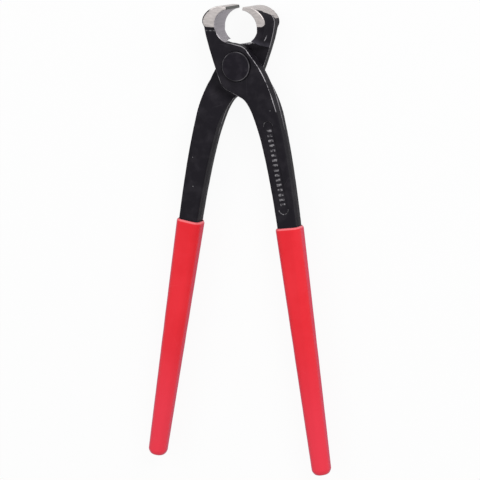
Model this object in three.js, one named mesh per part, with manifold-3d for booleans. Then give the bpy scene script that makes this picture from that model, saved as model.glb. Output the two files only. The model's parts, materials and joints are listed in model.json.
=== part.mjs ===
// Concreters nippers: two identical drop forged levers, one turned over on the other in a lap joint, held by
// one rivet, with a dipped PVC grip on each tang. Millimetres. The tool lies flat: +Y runs along it towards
// the jaws and +Z is the axis of the rivet. Each lever is drawn with the jaws shut and the rivet's axis at
// the origin, then both are turned apart about the rivet.
import * as THREE from 'three';
import { mergeVertices } from 'three/addons/utils/BufferGeometryUtils.js';
import Module from 'manifold-3d';

// Whole tool
const PIVOT_TO_TIP = 31.2; // rivet axis to the top of the cutting edges
const PIVOT_TO_END = 219.4; // rivet axis to the closed ends of the grips
const REST_OPENING = 16.8; // degrees between the levers as they lie
const FIT_GAP = 0.3; // running and seating gap between two pieces
const ROUND_SIDES = 48; // facets round a full circle

// Jaw
const HEAD_HALF_WIDTH = 15.4; // tool axis to the widest point of a jaw
const CROWN_RADIUS = 13; // round top of a jaw, from the cutting edge outwards
const CHEEK_RADIUS = 6; // tighter round where the crown turns down into the flank
const CHEEK_DROP = 7; // cutting edge down to the centre of that round
const FLANK_KNEE_OUT = 15.9; // tool axis to where the flank's upper and lower runs would meet
const FLANK_KNEE_UP = 15; // rivet axis up to the same point
const MOUTH_RADIUS = 8.8; // round mouth behind the cutting edges
const MOUTH_SWEEP = 172; // degrees of the mouth that one lever closes, from the edge round to the joint
const EDGE_LAND = 1.6; // height of the flat on which the two edges meet
const EDGE_GAP = 0.2; // left between the edges when the jaws are shut
const EDGE_LENGTH = 18.4; // cutting edge, front to back
const GROUND_DEPTH = 14.2; // jaw, front to back, where its ground side faces end
const JAW_DEPTH = 12.2; // jaw, front to back, just below the ground side faces
const GROUND_END_ON_BACK = 19; // along the back, from the edge to the end of the ground side faces
const GROUND_END_ON_MOUTH = 13.4; // the same round the mouth
const LEDGE_RUN = 2; // slope down from the ground side face to the forged skin
const BACK_RELIEF = 3; // how far the back leans in towards the lap side
const RELIEF_START = 0.2; // share of the ground length that stays square at the edge
const GROUND_ROUND = 0.3; // rounding of a ground edge

// Lap joint
const PLATE_THICKNESS = 5.6; // each half of the joint
const PLATE_CORNER_OUT = 9.9; // tool axis to the plate's lower outer corner, before rounding
const PLATE_CORNER_DOWN = 10.2; // rivet axis down to it
const PLATE_TOP_OUT = 6.2; // tool axis to the plate's upper corner, before rounding
const PLATE_TOP_UP = 9.6; // rivet axis up to it
const PLATE_CORNER_CUT = 3; // each corner is rounded from this far before it to this far after it
const CROTCH_OUT = 0.4; // tool axis to where the plate's lower edge turns into the arm
const CROTCH_DOWN = 17; // rivet axis down to it
const NECK_DROP = 12; // along the flank, from the cheek to opposite the end of the mouth
const JAW_SHOULDER = 15.2; // rivet axis to the shoulder under the jaw
const JAW_SHOULDER_ANGLE = 103; // degrees, direction from the rivet to that shoulder
const ARM_RAMP_DIRECTION = -65; // degrees, direction from the rivet to the foot of the ramp on the arm
const ARM_RAMP_SLOPE = 21; // degrees, how steeply the ramp rises to the arm's lap face
const RAMP_CLEARANCE = 0.6; // between the foot of the ramp and the other lever's plate

// Arm and tang
const ARM_THICKNESS = 9.2;
const ARM_WIDTH_AT_GRIP = 11;
const ARM_CENTRE_AT_GRIP = 15.75; // tool axis to the middle of the arm where the grip starts
const ARM_START_ANGLE = 26.4; // degrees between the tool axis and the outer edge of the arm at the plate
const OUTER_PULL_START = 0.125; // how far the outer edge holds its first direction, as a share of its run
const OUTER_PULL_END = 0.86; // how far it holds its last one
const INNER_PULL_START = 0.144; // the same for the inner edge
const INNER_PULL_END = 0.18;
const CROTCH_TO_OUTER = 19; // along the outer edge, from the plate's corner to opposite the crotch
const PLATE_BLEND = 24; // along the arm, from the plate's thickness to the arm's
const TANG_END_WIDTH = 7;
const TANG_END_THICKNESS = 7.4;
const TANG_CENTRE_AT_END = 16.25;
const FORGED_ROUND = 0.7; // rounding of a forged edge
const DRAFT = 0.2; // how much narrower a forged side is at its faces than at the parting line
const FLASH_WIDTH = 0.8; // trimmed land along the parting line

// Plain raised bars in a shallow pocket on the arm
const POCKET_START = 17.4; // along the arm, from opposite the crotch to the pocket
const POCKET_LENGTH = 49;
const POCKET_WIDTH = 5;
const POCKET_DEPTH = 0.5;
const BAR_PITCH = 2.6;
const BAR_WIDTH = 0.9;
const BAR_LENGTH = 2.8;
const BAR_HEIGHT = 0.35;

// Rivet
const RIVET_RADIUS = 4.25;
const RIVET_HEAD_RADIUS = 7.7;
const RIVET_HEAD_HEIGHT = 1.2;
const RIVET_HEAD_BEVEL = 0.5;
const SEAT_DEPTH = 0.4; // shallow seat turned in the plate under each head
const SEAT_RADIUS = 8.5;

// Grips
const GRIP_START = 86.4; // rivet axis to the open rim
const GRIP_WALL = 1.2;
const GRIP_END_WALL = 4; // tang's end to the closed end of the grip
const GRIP_ROUND = 4.4; // rounding of the grip's four long edges
const GRIP_END_ROUND = 3.4; // length of the rounded closed end
const GRIP_END_INSET = 2.4; // how far that end draws in all round
const RIM_ROUND = 0.7;

const wasm = await Module();
wasm.setup();

const STEEL = { color: 0x26242a, roughness: 0.42, metalness: 0.6 };
const RIVET_STEEL = { color: 0x2b292e, roughness: 0.38, metalness: 0.7 };
const PVC = { color: 0xdf2f33, roughness: 0.4, metalness: 0 };

function solid(geometry) {
  geometry.deleteAttribute('normal');
  geometry.deleteAttribute('uv');
  const merged = mergeVertices(geometry, 1e-4);
  const vertProperties = new Float32Array(merged.attributes.position.array);
  const triVerts = new Uint32Array(merged.index.array);
  return new wasm.Manifold(new wasm.Mesh({ numProp: 3, vertProperties, triVerts }));
}

function geometryOf(manifold) {
  const mesh = manifold.getMesh();
  const geometry = new THREE.BufferGeometry();
  geometry.setAttribute('position', new THREE.BufferAttribute(mesh.vertProperties, 3));
  geometry.setIndex(new THREE.BufferAttribute(mesh.triVerts, 1));
  geometry.computeVertexNormals();
  return geometry;
}

// A closed skin over equal loops of points, each loop running anticlockwise as seen from the first one.
function loft(loops) {
  const count = loops[0].length;
  const points = loops.flat();
  const index = [];
  for (let ring = 0; ring + 1 < loops.length; ring += 1) {
    for (let i = 0; i < count; i += 1) {
      const a = ring * count + i;
      const b = ring * count + ((i + 1) % count);
      index.push(a, a + count, b, b, a + count, b + count);
    }
  }
  const last = (loops.length - 1) * count;
  for (let i = 1; i + 1 < count; i += 1) {
    index.push(0, i, i + 1);
    index.push(last, last + i + 1, last + i);
  }
  const geometry = new THREE.BufferGeometry().setFromPoints(points);
  geometry.setIndex(index);
  return geometry;
}

function cylinder(radius, low, high) {
  const geometry = new THREE.CylinderGeometry(radius, radius, high - low, ROUND_SIDES);
  geometry.rotateX(Math.PI / 2);
  geometry.translate(0, 0, (low + high) / 2);
  return solid(geometry);
}

function prism(shape, low, high) {
  const options = { depth: high - low, bevelEnabled: false, curveSegments: ROUND_SIDES / 6 };
  const geometry = new THREE.ExtrudeGeometry(shape, options);
  geometry.translate(0, 0, low);
  return geometry;
}

function towards(degrees) {
  const angle = degrees * THREE.MathUtils.DEG2RAD;
  return new THREE.Vector2(Math.cos(angle), Math.sin(angle));
}

function along(from, to, distance) {
  const direction = to.clone().sub(from).normalize();
  return from.clone().addScaledVector(direction, distance);
}

// Places that several features share
const plateFace = FIT_GAP / 2 + PLATE_THICKNESS;
const tangEnd = PIVOT_TO_END - GRIP_END_WALL - FIT_GAP;
const mouthCentre = new THREE.Vector2(0, PIVOT_TO_TIP - EDGE_LAND - MOUTH_RADIUS);
const tip = new THREE.Vector2(-EDGE_GAP / 2, PIVOT_TO_TIP);
const cheekCentre = new THREE.Vector2(CHEEK_RADIUS - HEAD_HALF_WIDTH, PIVOT_TO_TIP - CHEEK_DROP);
const flankKnee = new THREE.Vector2(-FLANK_KNEE_OUT, FLANK_KNEE_UP);
const plateCorner = new THREE.Vector2(-PLATE_CORNER_OUT, -PLATE_CORNER_DOWN);
const plateTop = new THREE.Vector2(PLATE_TOP_OUT, PLATE_TOP_UP);
const crotch = new THREE.Vector2(CROTCH_OUT, -CROTCH_DOWN);
const innerAtGrip = new THREE.Vector2(ARM_CENTRE_AT_GRIP - ARM_WIDTH_AT_GRIP / 2, -GRIP_START);
const outerAtGrip = new THREE.Vector2(ARM_CENTRE_AT_GRIP + ARM_WIDTH_AT_GRIP / 2, -GRIP_START);
const innerAtEnd = new THREE.Vector2(TANG_CENTRE_AT_END - TANG_END_WIDTH / 2, -tangEnd);
const outerAtEnd = new THREE.Vector2(TANG_CENTRE_AT_END + TANG_END_WIDTH / 2, -tangEnd);

function arc(centre, radius, from, to) {
  return new THREE.EllipseCurve(centre.x, centre.y, radius, radius, from, to, false);
}

// Curves joined end to end, with the distance from the start to the end of each.
function edgePath(curves) {
  const path = new THREE.CurvePath();
  Object.values(curves).forEach((curve) => path.add(curve));
  const lengths = path.getCurveLengths();
  const ends = Object.fromEntries(Object.keys(curves).map((name, i) => [name, lengths[i]]));
  return { ends, at: (distance) => path.getPoint(Math.min(distance / path.getLength(), 1)) };
}

// A smooth edge of the arm, from the plate to where the grip starts, in line with the tang there.
function armEdge(start, direction, atGrip, atEnd, pullStart, pullEnd) {
  const run = start.y - atGrip.y;
  const leave = start.clone().addScaledVector(direction, run * pullStart);
  const arrive = along(atGrip, atEnd, -run * pullEnd);
  return new THREE.CubicBezierCurve(start, leave, arrive, atGrip);
}

// The crown passes through the cutting edge and runs smoothly into the cheek.
function crownCentre() {
  const reach = CROWN_RADIUS - CHEEK_RADIUS;
  const toTip = tip.clone().sub(cheekCentre);
  const span = toTip.length();
  const foot = (reach ** 2 - CROWN_RADIUS ** 2 + span ** 2) / (2 * span);
  const drop = Math.sqrt(reach ** 2 - foot ** 2);
  const unit = toTip.normalize();
  const inwards = new THREE.Vector2(unit.y, -unit.x);
  return cheekCentre.clone().addScaledVector(unit, foot).addScaledVector(inwards, drop);
}

// Left edge: the jaw's crown, cheek and flank, the plate's lower corner, then the inside of the arm.
function leftEdge() {
  const crown = crownCentre();
  const start = tip.clone().sub(crown).angle();
  const turn = cheekCentre.clone().sub(crown).angle();
  const toKnee = flankKnee.clone().sub(cheekCentre);
  const tangent = toKnee.angle() - Math.acos(CHEEK_RADIUS / toKnee.length());
  const cheek = arc(cheekCentre, CHEEK_RADIUS, turn, tangent);
  const flankEnd = along(plateCorner, flankKnee, PLATE_CORNER_CUT);
  const lowerStart = along(plateCorner, crotch, PLATE_CORNER_CUT);
  const lowerDirection = crotch.clone().sub(plateCorner).normalize();
  return edgePath({
    crown: arc(crown, CROWN_RADIUS, start, turn),
    cheek,
    flank: new THREE.QuadraticBezierCurve(cheek.getPoint(1), flankKnee, flankEnd),
    corner: new THREE.QuadraticBezierCurve(flankEnd, plateCorner, lowerStart),
    lower: new THREE.LineCurve(lowerStart, crotch),
    arm: armEdge(crotch, lowerDirection, innerAtGrip, innerAtEnd, INNER_PULL_START, INNER_PULL_END),
    tang: new THREE.LineCurve(innerAtGrip, innerAtEnd),
  });
}

// Right edge: the mouth, the top of the plate and its corner, then the outside of the arm.
function rightEdge() {
  const start = Math.PI / 2 + Math.asin(EDGE_GAP / 2 / MOUTH_RADIUS);
  const mouth = arc(mouthCentre, MOUTH_RADIUS, start, Math.PI / 2 + MOUTH_SWEEP * THREE.MathUtils.DEG2RAD);
  const mouthEnd = mouth.getPoint(1);
  const armDirection = towards(ARM_START_ANGLE - 90);
  const topEnd = along(plateTop, mouthEnd, PLATE_CORNER_CUT);
  const armStart = plateTop.clone().addScaledVector(armDirection, PLATE_CORNER_CUT);
  return edgePath({
    mouth,
    top: new THREE.LineCurve(mouthEnd, topEnd),
    corner: new THREE.QuadraticBezierCurve(topEnd, plateTop, armStart),
    arm: armEdge(armStart, armDirection, outerAtGrip, outerAtEnd, OUTER_PULL_START, OUTER_PULL_END),
    tang: new THREE.LineCurve(outerAtGrip, outerAtEnd),
  });
}

// One side of a cross section, from its lap face to its plate face: a rounded edge, the wall leaning out to
// the trimmed flash at the parting line, and the same again. Each point is the distance in from the outline
// and the height.
function sidePoints(s, round, lapInset, plateInset) {
  const knee = round * (1 - Math.SQRT1_2);
  const edge = (inset) => [
    [inset + round, s.half],
    [inset + knee, s.half - knee],
    [inset * (1 - round / s.half), s.half - round],
  ];
  const lap = edge(lapInset).map(([inset, height]) => [inset, -height]);
  const plate = edge(plateInset).reverse();
  return [...lap, [0, -FLASH_WIDTH / 2], [0, FLASH_WIDTH / 2], ...plate];
}

function section(s) {
  const from = left.at(s.left);
  const to = right.at(s.right);
  const across = to.clone().sub(from).normalize();
  const place = (edge, sign) => ([inset, height]) => {
    const p = edge.clone().addScaledVector(across, sign * inset);
    return new THREE.Vector3(p.x, p.y, height);
  };
  const leftSide = sidePoints(s, s.leftRound, s.lapInset, s.plateInset);
  const rightSide = sidePoints(s, s.rightRound, s.rightInset, s.rightInset).reverse();
  return [...leftSide.map(place(from, 1)), ...rightSide.map(place(to, -1))];
}

const left = leftEdge();
const right = rightEdge();

// Where the arm begins, as a distance along each edge.
const armRoot = { left: left.ends.lower, right: right.ends.corner + CROTCH_TO_OUTER };

// Cross sections that shape the forging, from the cutting edge to the end of the tang. left and right are
// distances along the two edges, half is the height of each face above the mid-plane, and steps is the number
// of sections from the one before.
function marks() {
  const rounds = (leftRound, rightRound) => ({ leftRound, rightRound });
  const insets = (plateInset, lapInset, rightInset) => ({ plateInset, lapInset, rightInset });
  const depth = (half) => ({ half });
  const places = (onLeft, onRight) => ({ left: onLeft, right: onRight });
  const ground = rounds(GROUND_ROUND, GROUND_ROUND);
  const jaw = { ...rounds(FORGED_ROUND, GROUND_ROUND), ...insets(DRAFT, BACK_RELIEF, 0) };
  const forged = { ...rounds(FORGED_ROUND, FORGED_ROUND), ...insets(DRAFT, DRAFT, DRAFT) };
  const square = places(GROUND_END_ON_BACK * RELIEF_START, GROUND_END_ON_MOUTH * RELIEF_START);
  const squareDepth = depth(THREE.MathUtils.lerp(EDGE_LENGTH, GROUND_DEPTH, RELIEF_START) / 2);
  const ledge = places(GROUND_END_ON_BACK + LEDGE_RUN, GROUND_END_ON_MOUTH + LEDGE_RUN);
  const groundEnd = places(GROUND_END_ON_BACK, GROUND_END_ON_MOUTH);
  const neck = places(left.ends.cheek + NECK_DROP, right.ends.mouth);
  const plate = places(left.ends.flank, right.ends.corner);
  const arm = places(armRoot.left + PLATE_BLEND, armRoot.right + PLATE_BLEND);
  const gripStart = places(left.ends.arm, right.ends.arm);
  const tang = places(left.ends.tang, right.ends.tang);
  const armDepth = depth(ARM_THICKNESS / 2);
  return [
    { ...places(0, 0), ...depth(EDGE_LENGTH / 2), ...ground, ...insets(0, 0, 0), steps: 0 },
    { ...square, ...squareDepth, ...ground, ...insets(0, 0, 0), steps: 4 },
    { ...groundEnd, ...depth(GROUND_DEPTH / 2), ...ground, ...insets(0, BACK_RELIEF, 0), steps: 8 },
    { ...ledge, ...depth(JAW_DEPTH / 2), ...jaw, steps: 1 },
    { ...neck, ...depth(plateFace), ...jaw, steps: 7 },
    { ...plate, ...depth(plateFace), ...forged, steps: 8 },
    { ...armRoot, ...depth(plateFace), ...forged, steps: 10 },
    { ...arm, ...armDepth, ...forged, steps: 8 },
    { ...gripStart, ...armDepth, ...forged, steps: 7 },
    { ...tang, ...depth(TANG_END_THICKNESS / 2), ...forged, steps: 3 },
  ];
}

function between(a, b, share) {
  const mixed = {};
  Object.keys(a).forEach((key) => {
    mixed[key] = THREE.MathUtils.lerp(a[key], b[key], share);
  });
  return mixed;
}

function forgingBlank() {
  const rows = marks();
  const loops = [section(rows[0])];
  rows.slice(1).forEach((row, before) => {
    for (let step = 1; step <= row.steps; step += 1) {
      loops.push(section(between(rows[before], row, step / row.steps)));
    }
  });
  return solid(loft(loops));
}

// The half of the blank that is cut away for the other lever's plate: from the shoulder under the jaw to the
// ramp that runs out on the arm, and well past both sides.
function lapCut() {
  const lapPlane = FIT_GAP / 2;
  const reach = HEAD_HALF_WIDTH * 3;
  const toJaw = towards(JAW_SHOULDER_ANGLE);
  const toArm = towards(ARM_RAMP_DIRECTION);
  const rampFoot = Math.max(plateCorner.length(), crotch.y * toArm.y) + RAMP_CLEARANCE;
  const lineEnds = (direction, distance, height) => [-reach, reach].map((side) => {
    const x = direction.x * distance - direction.y * side;
    const y = direction.y * distance + direction.x * side;
    return new THREE.Vector3(x, y, height);
  });
  const outline = (height) => {
    const rampRun = (lapPlane - height) / Math.tan(ARM_RAMP_SLOPE * THREE.MathUtils.DEG2RAD);
    return [...lineEnds(toJaw, JAW_SHOULDER, height), ...lineEnds(toArm, rampFoot + rampRun, height)];
  };
  return solid(loft([outline(lapPlane), outline(-EDGE_LENGTH)]));
}

function stadium(length, width) {
  const shape = new THREE.Shape();
  const flat = length / 2 - width / 2;
  shape.absarc(0, flat, width / 2, 0, Math.PI, false);
  shape.absarc(0, -flat, width / 2, Math.PI, 2 * Math.PI, false);
  return shape;
}

function armMiddle(distance) {
  const inner = left.at(armRoot.left + distance);
  const outer = right.at(armRoot.right + distance);
  return inner.add(outer).multiplyScalar(0.5);
}

// The pocket lies along the middle of the arm, on the plate side.
function pocketPlace() {
  const top = armMiddle(POCKET_START);
  const low = armMiddle(POCKET_START + POCKET_LENGTH);
  const centre = top.clone().add(low).multiplyScalar(0.5);
  const lean = top.sub(low).angle() - Math.PI / 2;
  return new THREE.Matrix4().makeRotationZ(lean).setPosition(centre.x, centre.y, 0);
}

function leverGeometry() {
  let body = forgingBlank().subtract(lapCut());
  body = body.subtract(cylinder(RIVET_RADIUS + FIT_GAP, -EDGE_LENGTH, EDGE_LENGTH));
  body = body.subtract(cylinder(SEAT_RADIUS, plateFace - SEAT_DEPTH, EDGE_LENGTH));
  const place = pocketPlace();
  const floor = ARM_THICKNESS / 2 - POCKET_DEPTH;
  const pocket = prism(stadium(POCKET_LENGTH, POCKET_WIDTH), floor, EDGE_LENGTH).applyMatrix4(place);
  body = body.subtract(solid(pocket));
  const bars = Math.floor((POCKET_LENGTH - POCKET_WIDTH) / BAR_PITCH);
  for (let bar = 0; bar < bars; bar += 1) {
    const y = (bar - (bars - 1) / 2) * BAR_PITCH;
    const raised = new THREE.BoxGeometry(BAR_LENGTH, BAR_WIDTH, BAR_HEIGHT + POCKET_DEPTH);
    raised.translate(0, y, floor + (BAR_HEIGHT - POCKET_DEPTH) / 2);
    body = body.add(solid(raised.applyMatrix4(place)));
  }
  return geometryOf(body);
}

// A rounded rectangle across a grip, its middle at x.
function gripLoop(x, y, halfWidth, halfThickness, round) {
  const corner = Math.min(round, halfWidth, halfThickness);
  const steps = 4;
  const loop = [];
  for (let quarter = 0; quarter < 4; quarter += 1) {
    for (let step = 0; step <= steps; step += 1) {
      const angle = -((quarter + step / steps) * Math.PI) / 2;
      const signX = quarter === 0 || quarter === 3 ? 1 : -1;
      const signZ = quarter < 2 ? -1 : 1;
      const px = x + signX * (halfWidth - corner) + corner * Math.cos(angle);
      const pz = signZ * (halfThickness - corner) + corner * Math.sin(angle);
      loop.push(new THREE.Vector3(px, y, pz));
    }
  }
  return loop;
}

// The tang's middle, half width and half thickness at a distance from the rivet.
function tangAt(distance) {
  const share = (distance - GRIP_START) / (tangEnd - GRIP_START);
  const mix = (a, b) => THREE.MathUtils.lerp(a, b, share);
  return {
    x: mix(ARM_CENTRE_AT_GRIP, TANG_CENTRE_AT_END),
    halfWidth: mix(ARM_WIDTH_AT_GRIP, TANG_END_WIDTH) / 2,
    halfThickness: mix(ARM_THICKNESS, TANG_END_THICKNESS) / 2,
  };
}

function gripGeometry() {
  const skin = FIT_GAP + GRIP_WALL;
  const outerLoop = (distance, inset) => {
    const tang = tangAt(distance);
    const halfWidth = tang.halfWidth + skin - inset;
    const halfThickness = tang.halfThickness + skin - inset;
    return gripLoop(tang.x, -distance, halfWidth, halfThickness, GRIP_ROUND);
  };
  const loops = [];
  const roundSteps = 4;
  for (let step = 0; step <= roundSteps; step += 1) {
    const angle = (step / roundSteps) * (Math.PI / 2);
    loops.push(outerLoop(GRIP_START + RIM_ROUND * (1 - Math.sin(angle)), RIM_ROUND * (1 - Math.cos(angle))));
  }
  loops.reverse();
  const bodySteps = 10;
  const bodyStart = GRIP_START + RIM_ROUND;
  const bodyEnd = PIVOT_TO_END - GRIP_END_ROUND;
  for (let step = 1; step <= bodySteps; step += 1) {
    loops.push(outerLoop(THREE.MathUtils.lerp(bodyStart, bodyEnd, step / bodySteps), 0));
  }
  for (let step = 1; step <= roundSteps; step += 1) {
    const angle = (step / roundSteps) * (Math.PI / 2);
    loops.push(outerLoop(bodyEnd + GRIP_END_ROUND * Math.sin(angle), GRIP_END_INSET * (1 - Math.cos(angle))));
  }
  const boreLoop = (distance) => {
    const tang = tangAt(distance);
    const halfWidth = tang.halfWidth + FIT_GAP;
    const halfThickness = tang.halfThickness + FIT_GAP;
    return gripLoop(tang.x, -distance, halfWidth, halfThickness, FORGED_ROUND);
  };
  const bore = [boreLoop(GRIP_START - FIT_GAP), boreLoop(tangEnd + FIT_GAP)];
  return geometryOf(solid(loft(loops)).subtract(solid(loft(bore))));
}

// Turned profile, the same at both ends.
function rivetGeometry() {
  const under = plateFace - SEAT_DEPTH + FIT_GAP;
  const top = under + RIVET_HEAD_HEIGHT;
  const upper = [
    [RIVET_RADIUS, under],
    [RIVET_HEAD_RADIUS, under],
    [RIVET_HEAD_RADIUS, top - RIVET_HEAD_BEVEL],
    [RIVET_HEAD_RADIUS - RIVET_HEAD_BEVEL, top],
    [0, top],
  ];
  const lower = upper.map(([radius, height]) => [radius, -height]).reverse();
  const profile = [...lower, ...upper].map(([radius, height]) => new THREE.Vector2(radius, height));
  const geometry = new THREE.LatheGeometry(profile, ROUND_SIDES);
  geometry.rotateX(Math.PI / 2);
  return geometryOf(solid(geometry));
}

function piece(name, geometry, finish) {
  const mesh = new THREE.Mesh(geometry, new THREE.MeshStandardMaterial(finish));
  mesh.name = name;
  return mesh;
}

const halfOpening = (REST_OPENING / 2) * THREE.MathUtils.DEG2RAD;
const lever = leverGeometry();
const grip = gripGeometry();

const frontLever = new THREE.Group();
frontLever.rotation.z = halfOpening;
frontLever.add(piece('front_lever', lever, STEEL), piece('front_grip', grip, PVC));

const turnedOver = new THREE.Group();
turnedOver.rotation.y = Math.PI;
turnedOver.add(piece('rear_lever', lever, STEEL), piece('rear_grip', grip, PVC));
const rearLever = new THREE.Group();
rearLever.rotation.z = -halfOpening;
rearLever.add(turnedOver);

const tool = new THREE.Group();
tool.add(frontLever, rearLever, piece('pivot_rivet', rivetGeometry(), RIVET_STEEL));

// The origin is under the middle of the tool, on the surface that it lies on.
const box = new THREE.Box3().setFromObject(tool, true);
const middle = box.getCenter(new THREE.Vector3());
tool.position.set(-middle.x, -middle.y, -box.min.z);

const nippers = new THREE.Group();
nippers.add(tool);

export default nippers;
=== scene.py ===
import json
import math

import bmesh
import bpy
import numpy as np
from mathutils import Matrix, Vector, kdtree, noise


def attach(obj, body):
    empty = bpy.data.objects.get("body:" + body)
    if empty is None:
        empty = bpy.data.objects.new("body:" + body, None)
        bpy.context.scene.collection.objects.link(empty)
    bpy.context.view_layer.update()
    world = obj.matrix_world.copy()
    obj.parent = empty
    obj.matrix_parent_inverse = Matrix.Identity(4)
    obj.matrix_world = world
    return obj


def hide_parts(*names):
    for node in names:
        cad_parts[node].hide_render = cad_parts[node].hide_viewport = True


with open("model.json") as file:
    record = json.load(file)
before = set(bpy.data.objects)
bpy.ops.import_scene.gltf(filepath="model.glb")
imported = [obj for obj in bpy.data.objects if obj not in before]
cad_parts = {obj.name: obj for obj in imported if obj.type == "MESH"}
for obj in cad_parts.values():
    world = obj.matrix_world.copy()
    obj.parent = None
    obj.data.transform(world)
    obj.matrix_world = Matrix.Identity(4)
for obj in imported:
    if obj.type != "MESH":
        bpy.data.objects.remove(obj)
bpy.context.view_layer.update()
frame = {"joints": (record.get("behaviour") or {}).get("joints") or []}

# The lever forging
# Each lever is one drop forging of carbon steel: half of the mouth with its edge, half of the lap joint, a
# bowed arm and a tang for the grip. Both are the same forging, and one is turned over on the other. It is
# drawn with the jaws shut, the rivet's axis at the origin and the plate side up.
MM = 0.001
PIVOT_TO_TIP = 31.2 * MM
PIVOT_TO_END = 219.4 * MM
HEAD_HALF_WIDTH = 15.4 * MM
CROWN_RADIUS = 13 * MM
CHEEK_RADIUS = 6 * MM
CHEEK_DROP = 7 * MM
FLANK_KNEE = np.array([-15.9, 15]) * MM
MOUTH_RADIUS = 8.8 * MM
MOUTH_SWEEP = math.radians(172)
EDGE_LAND = 1.6 * MM
EDGE_GAP = 0.2 * MM
EDGE_LENGTH = 18.4 * MM
GROUND_DEPTH = 14.2 * MM
JAW_DEPTH = 12.2 * MM
GROUND_END_ON_BACK = 19 * MM
GROUND_END_ON_MOUTH = 13.4 * MM
LEDGE_RUN = 2 * MM
BACK_RELIEF = 3 * MM
RELIEF_START = 0.2
GROUND_ROUND = 0.25 * MM
PLATE_FACE = 5.75 * MM
LAP_FACE = 0.15 * MM
PLATE_CORNER = np.array([-9.9, -10.2]) * MM
PLATE_TOP = np.array([6.2, 9.6]) * MM
PLATE_CORNER_CUT = 3 * MM
CROTCH = np.array([0.4, -17]) * MM
NECK_DROP = 12 * MM
JAW_SHOULDER = 15.2 * MM
JAW_SHOULDER_ANGLE = math.radians(103)
ARM_RAMP_FOOT = 16 * MM
ARM_RAMP_DIRECTION = math.radians(-65)
ARM_RAMP_LENGTH = 18 * MM
ARM_RAMP_RISE = 4.75 * MM
ARM_THICKNESS = 9.2 * MM
ARM_WIDTH_AT_GRIP = 11 * MM
ARM_CENTRE_AT_GRIP = 15.75 * MM
ARM_START_ANGLE = math.radians(26.4)
OUTER_PULL = (0.125, 0.86)
INNER_PULL = (0.144, 0.18)
CROTCH_TO_OUTER = 19 * MM
PLATE_BLEND = 24 * MM
GRIP_START = 86.4 * MM
TANG_END = 215.1 * MM
TANG_END_WIDTH = 7 * MM
TANG_END_THICKNESS = 7.4 * MM
TANG_CENTRE_AT_END = 16.25 * MM
FORGED_ROUND = 0.7 * MM
ARM_ROUND = 1.0 * MM
DRAFT = 0.2 * MM
FLASH_WIDTH = 0.9 * MM
FLASH_PROUD = 0.12 * MM
BORE_RADIUS = 4.55 * MM
SEAT_RADIUS = 7.95 * MM
SEAT_DEPTH = 0.4 * MM
POCKET_START = 17.4 * MM
POCKET_LENGTH = 49 * MM
POCKET_WIDTH = 5 * MM
POCKET_DEPTH = 0.5 * MM
BAR_PITCH = 2.6 * MM
BAR_WIDTH = 0.9 * MM
BAR_LENGTH = 2.8 * MM
BAR_HEIGHT = 0.35 * MM
CURVE_STEPS = 80
RAMP_STEPS = 12
CORNER_STEPS = 5


def arc(centre, radius, start, end):
    angle = np.linspace(start, end, CURVE_STEPS)
    return np.array(centre) + radius * np.column_stack([np.cos(angle), np.sin(angle)])


def bezier(*points):
    share = np.linspace(0, 1, CURVE_STEPS)[:, None]
    order = len(points) - 1
    terms = [math.comb(order, k) * (1 - share) ** (order - k) * share**k * p for k, p in enumerate(points)]
    return sum(terms)


def unit(vector):
    return vector / np.linalg.norm(vector)


def square_to(direction):
    return np.array([-direction[1], direction[0]])


def bearing(vector):
    return math.atan2(vector[1], vector[0]) % (2 * math.pi)


def along(start, end, distance):
    return start + unit(end - start) * distance


def towards(angle):
    return np.array([math.cos(angle), math.sin(angle)])


class EdgePath:
    """Curves joined end to end, read by the distance along them."""

    def __init__(self, **curves):
        self.points = np.concatenate(list(curves.values()))
        steps = np.linalg.norm(np.diff(self.points, axis=0), axis=1)
        self.distance = np.concatenate([[0], np.cumsum(steps)])
        counts = np.cumsum([len(curve) for curve in curves.values()])
        self.ends = {name: self.distance[count - 1] for name, count in zip(curves, counts)}

    def at(self, distance):
        columns = [np.interp(distance, self.distance, self.points[:, axis]) for axis in (0, 1)]
        return np.column_stack(columns)


def arm_edge(start, direction, at_grip, at_end, pull):
    run = start[1] - at_grip[1]
    leave = start + direction * run * pull[0]
    arrive = along(at_grip, at_end, -run * pull[1])
    return bezier(start, leave, arrive, at_grip)


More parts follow.
